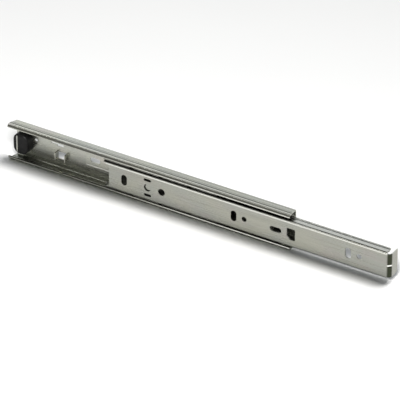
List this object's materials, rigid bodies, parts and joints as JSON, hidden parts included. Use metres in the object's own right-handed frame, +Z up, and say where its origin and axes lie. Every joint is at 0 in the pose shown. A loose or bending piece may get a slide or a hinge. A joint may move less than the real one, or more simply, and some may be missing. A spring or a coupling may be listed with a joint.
{
  "type": "drawer slide",
  "caption": "Side-mount ball-bearing drawer slide: a lipped steel cabinet rail, a drawer rail with a bent front tab, a ball cage and a rubber rear bumper.",
  "frame": {"origin": "middle of the cabinet rail's back face, the face that lies against the cabinet side", "axes": "+X along the slide towards the drawer front, +Y into the cabinet side, +Z up"},
  "size_m": [0.3766, 0.0127, 0.0362],
  "materials": {
    "zinc_plated_steel": "bright zinc plate, faint rolling lines",
    "cage_steel": "thin pressed strip, satin",
    "bearing_steel": "polished",
    "black_rubber": "moulded, slightly glossy"
  },
  "bodies": {
    "cabinet_member": {"outer_rail": "zinc_plated_steel", "rear_bumper": "black_rubber"},
    "drawer_member": {"inner_rail": "zinc_plated_steel"},
    "cage": {"ball_cage": "cage_steel", "ball_upper_1": "bearing_steel", "ball_upper_2": "bearing_steel", "ball_upper_3": "bearing_steel", "ball_upper_4": "bearing_steel", "ball_upper_5": "bearing_steel", "ball_upper_6": "bearing_steel", "ball_upper_7": "bearing_steel", "ball_upper_8": "bearing_steel", "ball_lower_1": "bearing_steel", "ball_lower_2": "bearing_steel", "ball_lower_3": "bearing_steel", "ball_lower_4": "bearing_steel", "ball_lower_5": "bearing_steel", "ball_lower_6": "bearing_steel", "ball_lower_7": "bearing_steel", "ball_lower_8": "bearing_steel"}
  },
  "joints": [
    {"name": "drawer_slide", "type": "slide", "parent": "cabinet_member", "child": "drawer_member", "axis": [1, 0, 0], "range_m": [-0.0951, 0.1149]},
    {"name": "cage_slide", "type": "slide", "parent": "cabinet_member", "child": "cage", "axis": [1, 0, 0], "range_m": [-0.04756, 0.05746]}
  ],
  "couplings": [
    {"joint": "cage_slide", "follows": "drawer_slide", "ratio": 0.5}
  ]
}
